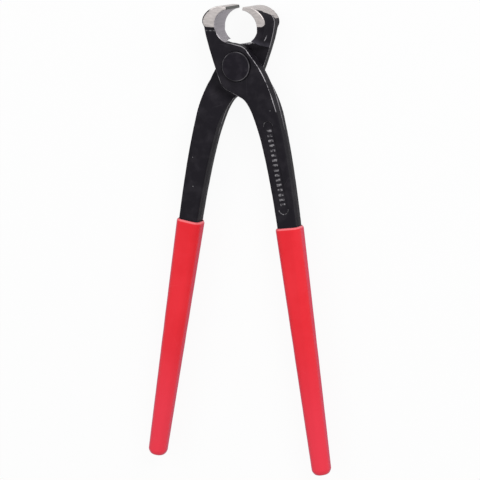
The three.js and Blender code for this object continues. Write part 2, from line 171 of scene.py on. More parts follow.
def left_edge():
    """The jaw's crown, cheek and flank, the plate's lower corner, then the inside of the arm."""
    tip = np.array([-EDGE_GAP / 2, PIVOT_TO_TIP])
    cheek_centre = np.array([CHEEK_RADIUS - HEAD_HALF_WIDTH, PIVOT_TO_TIP - CHEEK_DROP])
    reach = CROWN_RADIUS - CHEEK_RADIUS
    span = np.linalg.norm(tip - cheek_centre)
    foot = (reach**2 - CROWN_RADIUS**2 + span**2) / (2 * span)
    to_tip = unit(tip - cheek_centre)
    inwards = np.array([to_tip[1], -to_tip[0]])
    crown_centre = cheek_centre + to_tip * foot + inwards * math.sqrt(reach**2 - foot**2)
    turn = bearing(cheek_centre - crown_centre)
    to_knee = FLANK_KNEE - cheek_centre
    tangent = bearing(to_knee) - math.acos(CHEEK_RADIUS / np.linalg.norm(to_knee))
    cheek = arc(cheek_centre, CHEEK_RADIUS, turn, tangent)
    flank_end = along(PLATE_CORNER, FLANK_KNEE, PLATE_CORNER_CUT)
    lower_start = along(PLATE_CORNER, CROTCH, PLATE_CORNER_CUT)
    at_grip = np.array([ARM_CENTRE_AT_GRIP - ARM_WIDTH_AT_GRIP / 2, -GRIP_START])
    at_end = np.array([TANG_CENTRE_AT_END - TANG_END_WIDTH / 2, -TANG_END])
    return EdgePath(
        crown=arc(crown_centre, CROWN_RADIUS, bearing(tip - crown_centre), turn),
        cheek=cheek,
        flank=bezier(cheek[-1], FLANK_KNEE, flank_end),
        corner=bezier(flank_end, PLATE_CORNER, lower_start),
        lower=bezier(lower_start, CROTCH),
        arm=arm_edge(CROTCH, unit(CROTCH - PLATE_CORNER), at_grip, at_end, INNER_PULL),
        tang=bezier(at_grip, at_end),
    )


def right_edge():
    """The mouth, the top of the plate and its corner, then the outside of the arm."""
    mouth_centre = np.array([0, PIVOT_TO_TIP - EDGE_LAND - MOUTH_RADIUS])
    start = math.pi / 2 + math.asin(EDGE_GAP / 2 / MOUTH_RADIUS)
    mouth = arc(mouth_centre, MOUTH_RADIUS, start, math.pi / 2 + MOUTH_SWEEP)
    arm_direction = towards(ARM_START_ANGLE - math.pi / 2)
    top_end = along(PLATE_TOP, mouth[-1], PLATE_CORNER_CUT)
    arm_start = PLATE_TOP + arm_direction * PLATE_CORNER_CUT
    at_grip = np.array([ARM_CENTRE_AT_GRIP + ARM_WIDTH_AT_GRIP / 2, -GRIP_START])
    at_end = np.array([TANG_CENTRE_AT_END + TANG_END_WIDTH / 2, -TANG_END])
    return EdgePath(
        mouth=mouth,
        top=bezier(mouth[-1], top_end),
        corner=bezier(top_end, PLATE_TOP, arm_start),
        arm=arm_edge(arm_start, arm_direction, at_grip, at_end, OUTER_PULL),
        tang=bezier(at_grip, at_end),
    )


left = left_edge()
right = right_edge()


def stations():
    """Every cross section of the forging, as arrays by name, from the cutting edge to the end of the tang."""
    names = "left right half left_round right_round plate_inset lap_inset right_inset flash".split()
    ground, forged, soft = GROUND_ROUND, FORGED_ROUND, ARM_ROUND
    square_half = (EDGE_LENGTH * (1 - RELIEF_START) + GROUND_DEPTH * RELIEF_START) / 2
    square = (GROUND_END_ON_BACK * RELIEF_START, GROUND_END_ON_MOUTH * RELIEF_START)
    root = (left.ends["lower"], right.ends["corner"] + CROTCH_TO_OUTER)
    tip_half, ground_half, jaw_half = EDGE_LENGTH / 2, GROUND_DEPTH / 2, JAW_DEPTH / 2
    arm_half, tang_half = ARM_THICKNESS / 2, TANG_END_THICKNESS / 2
    ground_end = (GROUND_END_ON_BACK, GROUND_END_ON_MOUTH)
    ledge = (GROUND_END_ON_BACK + LEDGE_RUN, GROUND_END_ON_MOUTH + LEDGE_RUN)
    neck = (left.ends["cheek"] + NECK_DROP, right.ends["mouth"])
    plate = (left.ends["flank"], right.ends["corner"])
    arm = (root[0] + PLATE_BLEND, root[1] + PLATE_BLEND)
    marks = [
        (0, 0, tip_half, ground, ground, 0, 0, 0, 0),
        (*square, square_half, ground, ground, 0, 0, 0, 0),
        (*ground_end, ground_half, ground, ground, 0, BACK_RELIEF, 0, 0),
        (*ledge, jaw_half, forged, ground, DRAFT, BACK_RELIEF, 0, 0),
        (*neck, PLATE_FACE, forged, ground, DRAFT, BACK_RELIEF, 0, 0.5),
        (*plate, PLATE_FACE, forged, forged, DRAFT, DRAFT, DRAFT, 1),
        (*root, PLATE_FACE, forged, forged, DRAFT, DRAFT, DRAFT, 1),
        (*arm, arm_half, forged, forged, DRAFT, DRAFT, DRAFT, 1),
        (left.ends["arm"], right.ends["arm"], arm_half, soft, soft, DRAFT, DRAFT, DRAFT, 0),
        (left.ends["tang"], right.ends["tang"], tang_half, soft, soft, DRAFT, DRAFT, DRAFT, 0),
    ]
    counts = [16, 40, 6, 40, 40, 50, 40, 60, 40]
    shares = [np.linspace(0, 1, count, endpoint=False) + step for step, count in enumerate(counts)]
    place = np.concatenate([*shares, [len(counts)]])
    table = np.array(marks)
    return {name: np.interp(place, range(len(marks)), table[:, i]) for i, name in enumerate(names)}


def side_profile(half, rounding, plate_inset, lap_inset, flash):
    """Insets and heights down one side of every cross section, from the lap face to the plate face."""
    insets, heights = [], []
    turns = np.linspace(0, math.pi / 2, CORNER_STEPS)
    for turn in turns:
        insets.append(lap_inset + rounding * (1 - math.sin(turn)))
        heights.append(-half + rounding * (1 - math.cos(turn)))
    proud = -FLASH_PROUD * flash
    for level in (-1, 1):
        insets.append(proud)
        heights.append(np.full_like(half, level * FLASH_WIDTH / 2))
    for turn in turns[::-1]:
        insets.append(plate_inset + rounding * (1 - math.sin(turn)))
        heights.append(half - rounding * (1 - math.cos(turn)))
    return np.column_stack(insets), np.column_stack(heights)


rows = stations()
rows["from"] = left.at(rows["left"])
rows["to"] = right.at(rows["right"])
rows["across"] = rows["to"] - rows["from"]
rows["width"] = np.linalg.norm(rows["across"], axis=1)
rows["across"] /= rows["width"][:, None]


def forging_rings():
    left_in, left_up = side_profile(
        rows["half"], rows["left_round"], rows["plate_inset"], rows["lap_inset"], rows["flash"]
    )
    right_in, right_up = side_profile(
        rows["half"], rows["right_round"], rows["right_inset"], rows["right_inset"], rows["flash"]
    )
    across = rows["across"][:, None, :]
    left_points = rows["from"][:, None, :] + across * left_in[:, :, None]
    right_points = rows["to"][:, None, :] - across * right_in[:, :, None]
    left_ring = np.concatenate([left_points, left_up[:, :, None]], axis=2)
    right_ring = np.concatenate([right_points, right_up[:, :, None]], axis=2)[:, ::-1]
    return np.concatenate([left_ring, right_ring], axis=1)


def new_object(name, vertices, faces):
    mesh = bpy.data.meshes.new(name)
    mesh.from_pydata([tuple(v) for v in vertices], [], faces)
    made = bpy.data.objects.new(name, mesh)
    bpy.context.scene.collection.objects.link(made)
    return made


def loft(name, rings):
    """A closed skin over equal rings of points."""
    count, size = rings.shape[:2]
    faces = [tuple(range(size)), tuple((count - 1) * size + i for i in reversed(range(size)))]
    for ring in range(count - 1):
        for i in range(size):
            a, b = ring * size + i, ring * size + (i + 1) % size
            faces.append((a, a + size, b + size, b))
    return new_object(name, rings.reshape(-1, 3), faces)


def prism(name, outline, low, high):
    rings = [np.column_stack([outline, np.full(len(outline), level)]) for level in (low, high)]
    return loft(name, np.array(rings))


def work_in(piece):
    """Makes the piece's modifiers part of its mesh."""
    bpy.context.view_layer.update()
    graph = bpy.context.evaluated_depsgraph_get()
    finished = bpy.data.meshes.new_from_object(piece.evaluated_get(graph))
    piece.modifiers.clear()
    piece.data = finished


def face_outwards(piece):
    skin = bmesh.new()
    skin.from_mesh(piece.data)
    bmesh.ops.recalc_face_normals(skin, faces=skin.faces)
    skin.to_mesh(piece.data)
    skin.free()


def cut(piece, tool, operation="DIFFERENCE"):
    face_outwards(tool)
    modifier = piece.modifiers.new("cut", "BOOLEAN")
    modifier.operation = operation
    modifier.object = tool
    modifier.solver = "EXACT"
    work_in(piece)
    bpy.data.objects.remove(tool)


def lap_cutter():
    """What is cut away for the other lever's plate, with a ramp that runs out smoothly on the arm."""
    reach = 3 * HEAD_HALF_WIDTH
    turns = np.linspace(0, math.pi / 2, RAMP_STEPS)
    steps = [(turn / turns[-1], LAP_FACE - ARM_RAMP_RISE * math.sin(turn)) for turn in turns]
    rings = []
    for share, height in [*steps, (1, -EDGE_LENGTH)]:
        ring = []
        ramp_end = ARM_RAMP_FOOT + share * ARM_RAMP_LENGTH
        for angle, distance in ((JAW_SHOULDER_ANGLE, JAW_SHOULDER), (ARM_RAMP_DIRECTION, ramp_end)):
            direction = towards(angle)
            side = square_to(direction) * reach
            ring += [(*(direction * distance - side), height), (*(direction * distance + side), height)]
        rings.append(ring)
    return loft("lap", np.array(rings))


def arm_middle(distance):
    inner = left.at([left.ends["lower"] + distance])[0]
    outer = right.at([right.ends["corner"] + CROTCH_TO_OUTER + distance])[0]
    return (inner + outer) / 2


def pocket_frame():
    """Middle of the pocket and the direction along it, on the middle of the arm."""
    top = arm_middle(POCKET_START)
    low = arm_middle(POCKET_START + POCKET_LENGTH)
    return (top + low) / 2, unit(top - low)


def pocket_outline(middle, direction):
    flat = (POCKET_LENGTH - POCKET_WIDTH) / 2
    lean = bearing(direction)
    ends = [
        arc(middle + direction * sign * flat, POCKET_WIDTH / 2, lean + start, lean + start + math.pi)[::5]
        for sign, start in ((1, -math.pi / 2), (-1, math.pi / 2))
    ]
    return np.concatenate(ends)


def forge_lever():
    lever = loft("lever_blank", forging_rings())
    face_outwards(lever)
    high = EDGE_LENGTH
    cut(lever, lap_cutter())
    cut(lever, prism("bore", arc((0, 0), BORE_RADIUS, 0, 2 * math.pi)[:-1], -high, high))
    cut(lever, prism("seat", arc((0, 0), SEAT_RADIUS, 0, 2 * math.pi)[:-1], PLATE_FACE - SEAT_DEPTH, high))
    middle, direction = pocket_frame()
    floor = ARM_THICKNESS / 2 - POCKET_DEPTH
    cut(lever, prism("pocket", pocket_outline(middle, direction), floor, high))
    side = square_to(direction)
    bars = int((POCKET_LENGTH - POCKET_WIDTH) / BAR_PITCH)
    for bar in range(bars):
        centre = middle + direction * (bar - (bars - 1) / 2) * BAR_PITCH
        corners = [
            centre + side * BAR_LENGTH / 2 * a + direction * BAR_WIDTH / 2 * b
            for a, b in ((-1, -1), (1, -1), (1, 1), (-1, 1))
        ]
        cut(lever, prism("bar", np.array(corners), floor - POCKET_DEPTH, floor + BAR_HEIGHT), "UNION")
    return lever


# The sharp drawn edges soften, the hammered skin rolls a little, and the jaw has been knocked in use.
SKIN_GRAIN = 0.26 * MM
SKIN_SOFTENING = 0.5
SOFTENING_ROUNDS = 3
SKIN_FADE = 0.5
LAP_SPARED = 0.2
LAP_FADE = 0.4
SKIN_ROLL = 0.05 * MM
ROLL_SIZE = 4.5 * MM
SKIN_PIT = 0.022 * MM
PIT_SIZE = 1.3 * MM
FACE_BUDGET = 150000
HOLLOW = np.array([[-12.3, 19.6, -4.9], [-11.9, 15.9, -5.2]]) * MM
HOLLOW_RADIUS = 1.7 * MM
HOLLOW_DEPTH = 0.45 * MM
NICK = np.array([[-13.7, 18.6, -3.6], [-13.4, 17.0, -3.9], [-12.9, 15.6, -4.3]]) * MM
KNOCKS = np.array([
    [17.75, -52.4, -4.6],
    [15.2, -67.7, -4.6],
    [19.7, -38.5, -1.8],
    [15.3, -24.8, 5.1],
]) * MM
KNOCK_RUN = np.array([0.15, 0.3, 0]) * MM
KNOCK_FAINT = 0.18 * MM
NICK_RADIUS = 0.3 * MM
NICK_DEPTH = 0.15 * MM


def shrink_wrap(lever):
    remesh = lever.modifiers.new("skin", "REMESH")
    remesh.mode = "VOXEL"
    remesh.voxel_size = SKIN_GRAIN
    smooth = lever.modifiers.new("smooth", "SMOOTH")
    smooth.factor = SKIN_SOFTENING
    smooth.iterations = SOFTENING_ROUNDS
    work_in(lever)


def thin_out(lever):
    lever.data.calc_loop_triangles()
    decimate = lever.modifiers.new("thin", "DECIMATE")
    decimate.ratio = min(1.0, FACE_BUDGET / len(lever.data.loop_triangles))
    work_in(lever)


def read_points(mesh, name="co"):
    points = np.empty(len(mesh.vertices) * 3)
    mesh.vertices.foreach_get(name, points)
    return points.reshape(-1, 3)


def nearest_rows(points):
    """For each point, the cross section that it lies nearest to."""
    rings = forging_rings()
    count, size = rings.shape[:2]
    tree = kdtree.KDTree(count * size)
    for i, point in enumerate(rings.reshape(-1, 3)):
        tree.insert(point, i)
    tree.balance()
    return np.array([tree.find(point)[1] // size for point in points])


def from_line(points, line):
    """Distance of each point from a line of straight runs."""
    nearest = np.full(len(points), np.inf)
    for start, end in zip(line[:-1], line[1:]):
        run = end - start
        share = np.clip((points - start) @ run / (run @ run), 0, 1)
        nearest = np.minimum(nearest, np.linalg.norm(points - start - share[:, None] * run, axis=1))
    return nearest


def from_nicks(points):
    """Distance from the nick in the jaw or the nearest of the small knocks on the arm."""
    knocks = [from_line(points, np.array([knock, knock + KNOCK_RUN])) for knock in KNOCKS]
    return np.minimum(from_line(points, NICK), np.min(knocks, axis=0) + KNOCK_FAINT)


def roughen(mesh, points, ground):
    """The skin rolls and pits, and the lap face, the tang and the ground faces stay true."""
    skin = np.clip(-ground / SKIN_FADE, 0, 1)
    skin *= np.clip((np.abs(points[:, 2] - LAP_FACE) / MM - LAP_SPARED) / LAP_FADE, 0, 1)
    skin *= points[:, 1] > -GRIP_START
    roll = np.array([noise.noise(Vector(p) / ROLL_SIZE) for p in points])
    pit = np.array([noise.noise(Vector(p) / PIT_SIZE) for p in points])
    lift = (roll * SKIN_ROLL + pit * SKIN_PIT) * skin
    lift -= HOLLOW_DEPTH * np.clip(1 - from_line(points, HOLLOW) / HOLLOW_RADIUS, 0, 1) ** 2
    lift -= NICK_DEPTH * np.clip(1 - from_nicks(points) / NICK_RADIUS, 0, 1)
    moved = points + read_points(mesh, "normal") * lift[:, None]
    mesh.vertices.foreach_set("co", moved.ravel())


# The side faces of the jaw are ground, and so are the whole mouth and the crown, which runs out along a slant
# on the lap side. A thin line of lacquer is left along the outer edge of the plate side. The long edges and
# the trimmed flash are rubbed in use and carry a painted highlight as well, and both fade out along the arm.
# The small ledge, the tops of the bars and the ends of the pocket are rubbed and carry a painted highlight
# too.
PLATE_GRIND_END = np.array([[-15, 22.3], [-8.8, 21.5]]) * MM
LAP_GRIND_END = np.array([[-12.8, 23.0], [-8.8, 22.5]]) * MM
PLATE_GRIND_CORNER = 1.4 * MM
LAP_GRIND_CORNER = 1.9 * MM
SIDE_FACE_LOW = 6.3 * MM
MOUTH_GROUND_DEPTH = 0.2 * MM
MOUTH_GROUND_LOW = 13.2 * MM
CROWN_GROUND_END = 16.2 * MM
CROWN_SLANT_START = 5.9 * MM
CROWN_SLANT_TOP = 2.7 * MM
RIM_START = 8 * MM
RIM_FULL = 11 * MM
RIM_WIDTH = 0.65 * MM
LAND_SKIN = 0.12 * MM
EDGE_STEP = 0.1 * MM
INNER_EDGE_SPARED = 0.05 * MM
CORNER_SHARE = 2 - math.sqrt(2)
FLASH_FADE_START = right.ends["corner"] + 30 * MM
FLASH_FADE = 0.02
LEDGE_DROP = 1.9 * MM
LEDGE_FACE = 1.2 * MM
SHOULDER_EDGE = 0.3 * MM


def from_back(points, row):
    return np.einsum("ij,ij->i", points[:, :2] - rows["from"][row], rows["across"][row])


def above(line, flat):
    direction = unit(line[1] - line[0])
    return (flat - line[0]) @ square_to(direction)


def rounded_corner(first, second, radius):
    """Depth inside two edges that meet in a rounded corner."""
    nearer = np.minimum(first, second)
    short = np.hypot(np.clip(radius - first, 0, None), np.clip(radius - second, 0, None))
    return np.where(nearer > radius, nearer, radius - short)


def from_mouth(points):
    centre = np.array([0, PIVOT_TO_TIP - EDGE_LAND - MOUTH_RADIUS])
    return np.linalg.norm(points[:, :2] - centre, axis=1) - MOUTH_RADIUS


def grinding(points, row):
    """Depth into the ground faces, in millimetres: above 0 the steel is bare."""
    flat, height = points[:, :2], points[:, 2]
    along_back = rows["left"][row]
    inwards = from_back(points, row)
    rim = np.interp(along_back, [RIM_START, RIM_FULL], [-RIM_WIDTH, RIM_WIDTH])
    plate_side = rounded_corner(above(PLATE_GRIND_END, flat), inwards - rim, PLATE_GRIND_CORNER)
    lap_inwards = inwards - rows["lap_inset"][row]
    lap_side = rounded_corner(above(LAP_GRIND_END, flat), lap_inwards, LAP_GRIND_CORNER)
    side = np.minimum(np.where(height > 0, plate_side, lap_side), np.abs(height) - SIDE_FACE_LOW)
    mouth = np.minimum(MOUTH_GROUND_DEPTH - from_mouth(points), flat[:, 1] - MOUTH_GROUND_LOW)
    slant = [CROWN_SLANT_START, CROWN_GROUND_END]
    lowest = np.interp(along_back, slant, [-EDGE_LENGTH / 2, CROWN_SLANT_TOP])
    crown = np.minimum(CROWN_GROUND_END - along_back, height - lowest)
    crown = np.minimum(crown, rows["half"][row] - height - rim)
    tip = CROWN_SLANT_START - along_back
    return np.max([side, mouth, crown, tip], axis=0) / MM


def land_depth(points):
    """Depth into the narrow flat where the two edges meet, in millimetres."""
    across = EDGE_GAP / 2 + LAND_SKIN - np.abs(points[:, 0])
    return np.minimum(across, points[:, 1] - (PIVOT_TO_TIP - EDGE_LAND)) / MM


def from_edge(points, path):
    """Distance of each point from an edge path, seen along the rivet's axis."""
    places = path.at(np.arange(0, path.distance[-1], EDGE_STEP))
    tree = kdtree.KDTree(len(places))
    for i, place in enumerate(places):
        tree.insert((*place, 0), i)
    tree.balance()
    return np.array([tree.find((x, y, 0))[2] for x, y in points[:, :2]])


def wear_and_highlight_fade(row):
    """How far the wear and the painted highlight on the arm have faded, both gone by the middle of the arm.
    """
    return np.clip(rows["right"][row] - FLASH_FADE_START, 0, None) * FLASH_FADE


def edge_distance(points, row):
    """Distance from the nearest long edge of the forging, in millimetres. The jaw's lap side has none."""
    height = points[:, 2]
    on_left = np.abs(from_edge(points, left) - rows["plate_inset"][row]) + INNER_EDGE_SPARED
    on_left += np.where(height < 0, rows["lap_inset"][row] - DRAFT, 0)
    on_left -= rows["left_round"][row] * CORNER_SHARE
    on_right = np.abs(from_edge(points, right) - rows["right_inset"][row])
    on_right -= rows["right_round"][row] * CORNER_SHARE
    down = np.abs(rows["half"][row] - np.abs(height))
    off_edge = np.maximum(down + np.minimum(on_left, on_right), 0)
    return (off_edge + wear_and_highlight_fade(row)) / MM


def flash_distance(points, row):
    """Distance from the trimmed flash, in millimetres, growing where the arm's flash is ground away."""
    inwards = from_back(points, row)
    off_wall = np.maximum(np.minimum(inwards, rows["width"][row] - inwards), 0)
    trimmed = wear_and_highlight_fade(row) + np.where(inwards < rows["width"][row] / 2, INNER_EDGE_SPARED, 0)
    return (np.abs(points[:, 2]) + off_wall * 2 + trimmed) / MM


def in_pocket(points):
    """How far each point lies past the straight run of the pocket, and across it."""
    middle, direction = pocket_frame()
    offset = points[:, :2] - middle
    past = np.abs(offset @ direction) - (POCKET_LENGTH - POCKET_WIDTH) / 2
    return past, np.abs(offset @ square_to(direction))


def bar_distance(points):
    """Distance below the tops of the raised bars, in millimetres."""
    past, across = in_pocket(points)
    outside = np.maximum(np.maximum(past, across - BAR_LENGTH / 2), 0)
    top = ARM_THICKNESS / 2 - POCKET_DEPTH + BAR_HEIGHT
    return (np.abs(top - points[:, 2]) + outside * 4) / MM


def ledge_distance(points, row):
    """Distance from the small ledge that the grinding leaves below the plate side, in millimetres."""
    below = np.abs(above(PLATE_GRIND_END, points[:, :2]) + LEDGE_DROP)
    buried = np.clip(rows["half"][row] - points[:, 2] - LEDGE_FACE, 0, None)
    return (below + buried) / MM


def shoulder_distance(points):
    """Distance above the shoulder of the jaw on the lap side, in millimetres, for the painted sheen there."""
    up = points[:, :2] @ towards(JAW_SHOULDER_ANGLE) - JAW_SHOULDER
    on_side = (points[:, 2] < 0) & (up > -SHOULDER_EDGE)
    return np.where(on_side, np.abs(up), JAW_SHOULDER) / MM


def pocket_end_distance(points):
    """Distance from the rim of the pocket at its two round ends, in millimetres."""
    past, across = in_pocket(points)
    off_rim = np.abs(np.hypot(past, across) - POCKET_WIDTH / 2)
    off_rim += np.abs(points[:, 2] - ARM_THICKNESS / 2)
    return np.where(past > 0, off_rim, POCKET_LENGTH) / MM


def store(mesh, name, values):
    attribute = mesh.attributes.new(name, "FLOAT", "POINT")
    attribute.data.foreach_set("value", values.astype(np.float32))


forging = forge_lever()
shrink_wrap(forging)
skin_points = read_points(forging.data)
roughen(forging.data, skin_points, grinding(skin_points, nearest_rows(skin_points)))
thin_out(forging)
forging_points = read_points(forging.data)
forging_rows = nearest_rows(forging_points)
store(forging.data, "ground_mm", grinding(forging_points, forging_rows))
store(forging.data, "land_mm", land_depth(forging_points))
store(forging.data, "edge_mm", edge_distance(forging_points, forging_rows))
store(forging.data, "flash_mm", flash_distance(forging_points, forging_rows))
store(forging.data, "bar_mm", bar_distance(forging_points))
store(forging.data, "pocket_end_mm", pocket_end_distance(forging_points))
store(forging.data, "ledge_mm", ledge_distance(forging_points, forging_rows))
store(forging.data, "shoulder_mm", shoulder_distance(forging_points))
store(forging.data, "mouth_mm", from_mouth(forging_points) / MM)
store(forging.data, "nick_mm", from_nicks(forging_points) / MM)
forging.data.shade_smooth()


# Finish of the levers
# The forging is dipped in black semi-gloss lacquer, which shows the rolled skin beneath it and is rubbed
# thin along the edges and the trimmed flash, where the lighter lines are also a painted highlight.
# A painted sheen lightens the lap side of the jaw just above its shoulder. The jaws are ground after
# that, to bare steel with fine lines.
LACQUER = (0.0104, 0.0092, 0.0124, 1)
LACQUER_DUST = (0.0185, 0.0166, 0.0208, 1)
LACQUER_PAINTED_SHEEN = (0.050, 0.047, 0.060, 1)
LACQUER_SHINE = 0.06
BARE_EDGE_AND_HIGHLIGHT = (0.29, 0.28, 0.295, 1)
GROUND_STEEL = (0.65, 0.605, 0.59, 1)
GROUND_SHADE = (0.50, 0.463, 0.455, 1)
MOUTH_STEEL = (0.54, 0.51, 0.545, 1)
MOUTH_SHADE = (0.43, 0.405, 0.435, 1)
LAND_STEEL = (0.15, 0.15, 0.145, 1)
# These reaches set lighter lines that are wear and painted highlight in one; the nick's is bare steel only.
EDGE_WEAR_AND_HIGHLIGHT = 0.12
FLASH_WEAR_AND_HIGHLIGHT = 0.46
BAR_WEAR_AND_HIGHLIGHT = 0.24
POCKET_END_WEAR_AND_HIGHLIGHT = 0.4
LEDGE_WEAR_AND_HIGHLIGHT = 0.35
NICK_WORN = 0.4
SHOULDER_SHEEN_FADE = 3.4
CROSSWISE_LINES = (260.0, 2600.0, 2600.0)
SWIRL = (0.02, 0.02, 0.02)


def add(tree, kind, inputs=None, **settings):
    """A node with its settings, and its inputs set to values or linked to sockets."""
    made = tree.nodes.new(kind)
    for name, value in settings.items():
        setattr(made, name, value)
    for key, value in (inputs or {}).items():
        if isinstance(value, bpy.types.NodeSocket):
            tree.links.new(value, made.inputs[key])
        else:
            made.inputs[key].default_value = value
    return made


def noise_value(tree, vector, scale, detail=3.0, roughness=0.55):
    inputs = {"Vector": vector, "Scale": scale, "Detail": detail, "Roughness": roughness}
    return add(tree, "ShaderNodeTexNoise", inputs).outputs["Fac"]


def ramp(tree, value, low, high, to_low=0.0, to_high=1.0):
    inputs = {"Value": value, "From Min": low, "From Max": high, "To Min": to_low, "To Max": to_high}
    return add(tree, "ShaderNodeMapRange", inputs, interpolation_type="SMOOTHSTEP").outputs["Result"]


def math_node(tree, operation, first, second=0.0):
    return add(tree, "ShaderNodeMath", {0: first, 1: second}, operation=operation).outputs[0]


def mix_colour(tree, factor, first, second):
    return add(tree, "ShaderNodeMix", {0: factor, 6: first, 7: second}, data_type="RGBA").outputs[2]


def mix_value(tree, factor, first, second):
    return add(tree, "ShaderNodeMix", {0: factor, 2: first, 3: second}, data_type="FLOAT").outputs[0]


def new_group(name, inputs, outputs):
    """An empty node group with float or vector sockets, and its input and output nodes."""
    tree = bpy.data.node_groups.new(name, "ShaderNodeTree")
    for label, kind, default in inputs:
        socket = tree.interface.new_socket(label, in_out="INPUT", socket_type=kind)
        if default is not None:
            socket.default_value = default
    for label in outputs:
        tree.interface.new_socket(label, in_out="OUTPUT", socket_type="NodeSocketFloat")
    return tree, tree.nodes.new("NodeGroupInput").outputs, tree.nodes.new("NodeGroupOutput").inputs


def handling_group():
    """Marks of handling: broad mottling, fine grain, and thin scuffs that run every way."""
    inputs = [
        ("Vector", "NodeSocketVector", None),
        ("Mottle Scale", "NodeSocketFloat", 60.0),
        ("Grain Scale", "NodeSocketFloat", 1500.0),
        ("Scuff Scale", "NodeSocketFloat", 90.0),
    ]
    tree, given, out = new_group("handling_marks", inputs, ["Mottle", "Grain", "Scuffs"])
    mottle = noise_value(tree, given["Vector"], given["Mottle Scale"], 4.0)
    grain = noise_value(tree, given["Vector"], given["Grain Scale"], 2.0)
    bent = add(tree, "ShaderNodeTexNoise", {"Vector": given["Vector"], "Scale": 35.0, "Detail": 1.0})
    swirl = add(tree, "ShaderNodeVectorMath", {0: bent.outputs["Color"], 1: SWIRL}, operation="MULTIPLY")
    moved = add(tree, "ShaderNodeVectorMath", {0: given["Vector"], 1: swirl.outputs[0]}, operation="ADD")
    cells = add(
        tree, "ShaderNodeTexVoronoi", {"Vector": moved.outputs[0], "Scale": given["Scuff Scale"]},
        feature="DISTANCE_TO_EDGE",
    )
    thin = ramp(tree, cells.outputs["Distance"], 0.0, 0.012, 1.0, 0.0)
    patchy = ramp(tree, noise_value(tree, given["Vector"], 110.0, 2.0), 0.56, 0.66)
    tree.links.new(mottle, out["Mottle"])
    tree.links.new(grain, out["Grain"])
    tree.links.new(math_node(tree, "MULTIPLY", thin, patchy), out["Scuffs"])
    return tree


def wear_and_highlight_group():
    """Finish rubbed through near an edge, broken up by noise; on long edges it is also a painted highlight.
    """
    inputs = [
        ("Vector", "NodeSocketVector", None),
        ("Distance", "NodeSocketFloat", 1.0),
        ("Reach", "NodeSocketFloat", 1.0),
        ("Breakup Scale", "NodeSocketFloat", 300.0),
    ]
    tree, given, out = new_group("edge_wear_and_highlight", inputs, ["Wear"])
    breakup = noise_value(tree, given["Vector"], given["Breakup Scale"], 4.0, 0.65)
    reach = math_node(tree, "MULTIPLY", given["Reach"], ramp(tree, breakup, 0.3, 0.6, 0.65, 1.0))
    near = math_node(tree, "DIVIDE", given["Distance"], math_node(tree, "MAXIMUM", reach, 0.001))
    tree.links.new(ramp(tree, near, 0.7, 1.1, 1.0, 0.0), out["Wear"])
    return tree


def grind_group():
    """Fine lines left by a grinding wheel, drawn out along one axis."""
    inputs = [
        ("Vector", "NodeSocketVector", None),
        ("Stretch", "NodeSocketVector", (2600.0, 2600.0, 90.0)),
    ]
    tree, given, out = new_group("grinding_lines", inputs, ["Lines"])
    drawn = add(tree, "ShaderNodeVectorMath", {0: given["Vector"], 1: given["Stretch"]}, operation="MULTIPLY")
    tree.links.new(noise_value(tree, drawn.outputs[0], 1.0, 3.0, 0.6), out["Lines"])
    return tree


handling = handling_group()
edge_wear_and_highlight = wear_and_highlight_group()
grinding_lines = grind_group()


def group_node(tree, group, inputs):
    return add(tree, "ShaderNodeGroup", inputs, node_tree=group).outputs


def new_material(name):
    material = bpy.data.materials.new(name)
    material.use_nodes = True
    tree = material.node_tree
    surface = tree.nodes["Principled BSDF"]
    place = tree.nodes.new("ShaderNodeTexCoord").outputs["Object"]
    return material, tree, surface, place


def attribute(tree, name):
    return add(tree, "ShaderNodeAttribute", attribute_name=name).outputs["Fac"]


def rubbed_and_highlit(tree, place, name, reach):
    inputs = {"Vector": place, "Distance": attribute(tree, name), "Reach": reach}
    return group_node(tree, edge_wear_and_highlight, inputs)["Wear"]


